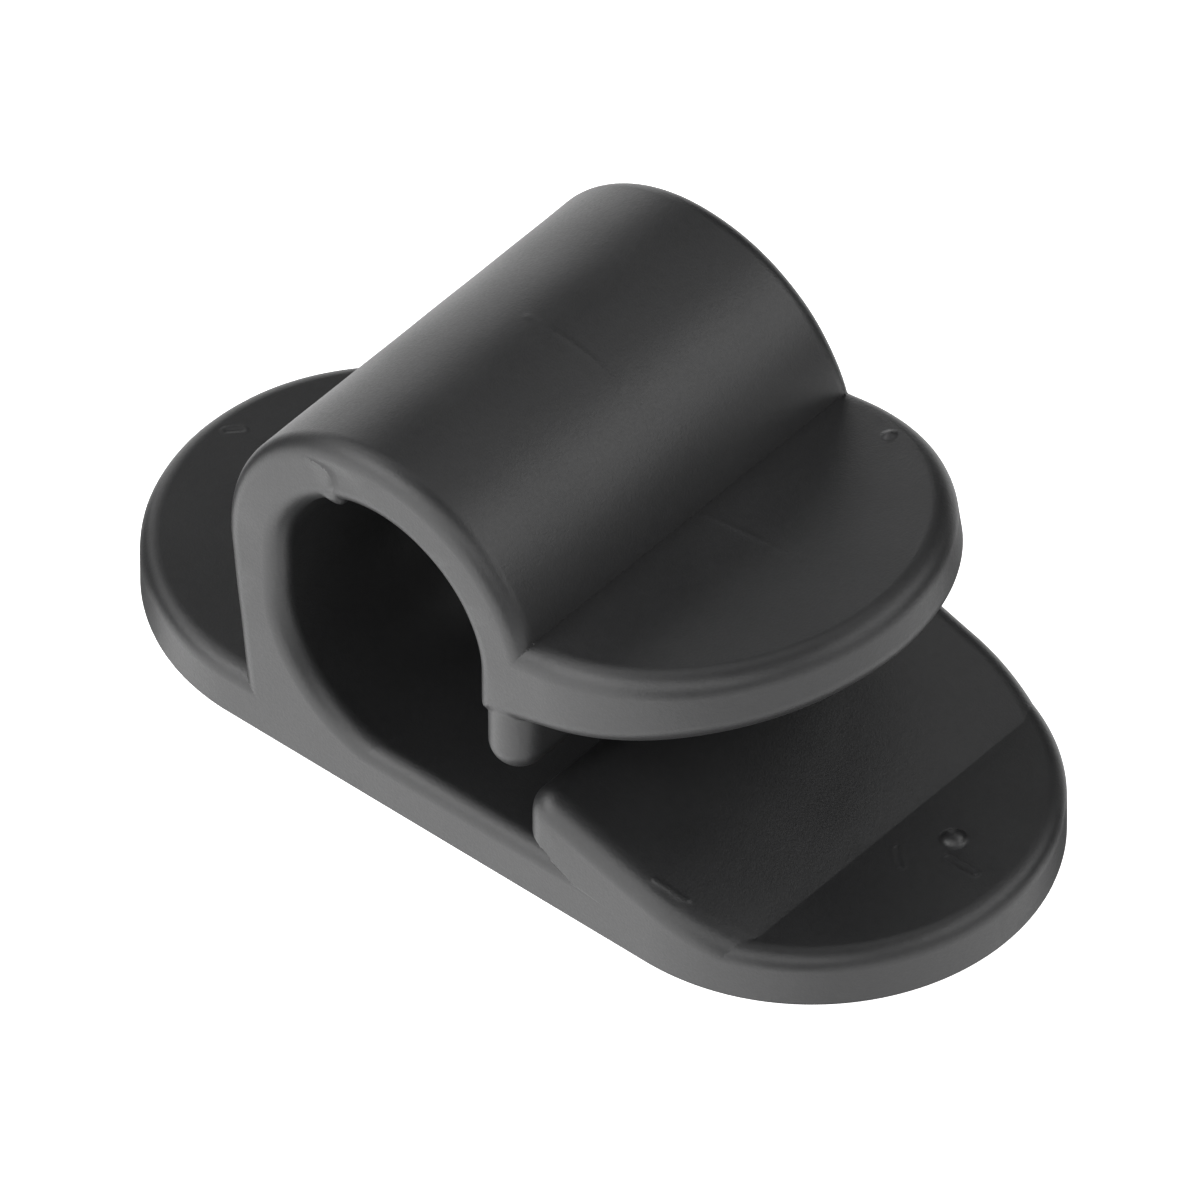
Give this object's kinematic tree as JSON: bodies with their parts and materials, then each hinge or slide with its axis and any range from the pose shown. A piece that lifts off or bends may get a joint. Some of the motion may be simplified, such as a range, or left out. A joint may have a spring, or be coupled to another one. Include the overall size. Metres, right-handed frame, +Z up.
{
  "type": "cable clip",
  "caption": "One-piece moulded cable clip: a flat foot with round ends carries an arched cable channel and a springy finger tab whose rib closes over a barbed ramp.",
  "frame": {"origin": "centre of the foot's flat underside", "axes": "+X along the foot towards the open side with the finger tab, +Y along the cable, +Z up from the surface that the foot sits on"},
  "size_m": [0.0254, 0.0122, 0.011],
  "materials": {
    "clip": "black moulded plastic, fine satin grain"
  },
  "bodies": {
    "root": {"clip": "clip"}
  },
  "joints": []
}
